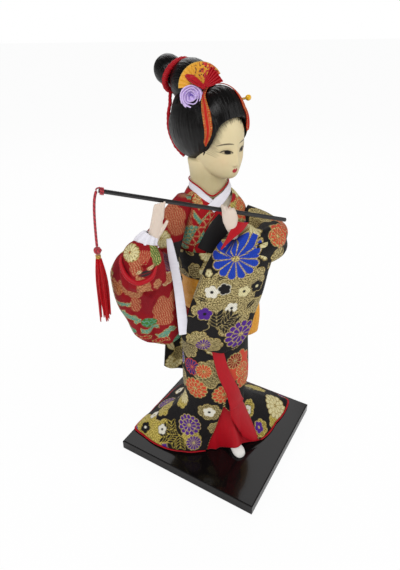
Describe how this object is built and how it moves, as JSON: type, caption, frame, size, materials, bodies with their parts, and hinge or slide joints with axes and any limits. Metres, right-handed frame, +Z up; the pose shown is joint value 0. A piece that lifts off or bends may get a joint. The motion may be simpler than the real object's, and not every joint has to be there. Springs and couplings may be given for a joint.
{
  "type": "geisha doll",
  "caption": "Standing doll in brocade kimono holding a slim black flute with a tassel, on a square black lacquered board.",
  "frame": {"origin": "middle of the board's underside", "axes": "+Z up, the doll faces -Y, +X to the doll's left; the board stands on one corner towards -Y"},
  "size_m": [0.1815, 0.1768, 0.3103],
  "materials": {
    "lacquer": "black gloss lacquer over board",
    "wood": "plain dowel",
    "steel": "soft iron wire",
    "padding": "cotton wadding",
    "skin": "painted composition, eggshell",
    "sock": "white cotton",
    "hair": "combed black rayon thread",
    "gold": "gold ribbon",
    "lilac": "lilac satin ribbon",
    "red": "red satin and cord",
    "white": "white satin",
    "black": "black satin",
    "redBrocade": "red brocade with gold and teal thread",
    "blackBrocade": "black brocade with gold thread and flowers",
    "goldBrocade": "gold brocade with flowers",
    "orange": "orange and gold brocade"
  },
  "bodies": {
    "stand": {"base_board": "lacquer", "leg_rod_right": "wood", "leg_rod_left": "wood", "foot_right": "sock", "foot_left": "sock", "skirt_padding": "padding", "torso_core": "padding", "arm_wire_right": "steel", "arm_wire_left": "steel", "flute": "lacquer", "hand_right": "skin", "hand_left": "skin", "underskirt": "red", "hem_lining": "red", "skirt": "blackBrocade", "front_band": "red", "collar_inner_right": "white", "bodice_right": "redBrocade", "collar_inner_left": "white", "bodice_left": "goldBrocade", "collar_piping": "red", "collar_outer": "black", "collar_strip": "redBrocade", "obi": "blackBrocade", "obi_sash": "orange", "waist_fold": "red", "obi_flap": "goldBrocade", "obi_knot": "blackBrocade", "obi_bow": "orange", "obi_tail": "blackBrocade", "sleeve_right_strip": "white", "undersleeve_right": "white", "sleeve_right": "redBrocade", "sleeve_right_cuff": "redBrocade", "sleeve_left_arm": "blackBrocade", "sleeve_left_lining": "red", "sleeve_left": "blackBrocade"},
    "head": {"head": "skin", "neck_peg": "wood", "hair_front": "hair", "hair_side_right": "hair", "hair_side_left": "hair", "hair_back": "hair", "topknot": "hair", "bun": "hair", "bun_ribbon": "red", "hairpin": "gold", "hair_cord_right": "red", "hair_cord_left": "red", "fan_comb": "gold", "bow_ribbon": "red", "pleated_ribbon": "red", "ribbon_rosette": "lilac", "front_ribbon": "red"},
    "tassel_loop": {"tassel_loop": "red"},
    "tassel": {"tassel_cord": "red", "tassel_knot": "red", "tassel_wrap": "gold", "tassel_strands": "red"}
  },
  "joints": [
    {"name": "head_turn", "type": "hinge", "parent": "stand", "child": "head", "pos_m": [-0.011, 0.003, 0.24], "axis": [0, 0, 1], "range_deg": [-45, 45]},
    {"name": "tassel_swing", "type": "hinge", "parent": "stand", "child": "tassel_loop", "pos_m": [-0.0832, -0.04, 0.24825], "axis": [0.9696, 0, -0.2449], "range_deg": [-60, 45]},
    {"name": "tassel_sway", "type": "hinge", "parent": "tassel_loop", "child": "tassel", "pos_m": [-0.0864, -0.04, 0.248], "axis": [0, 1, 0], "range_deg": [0, 60]}
  ]
}
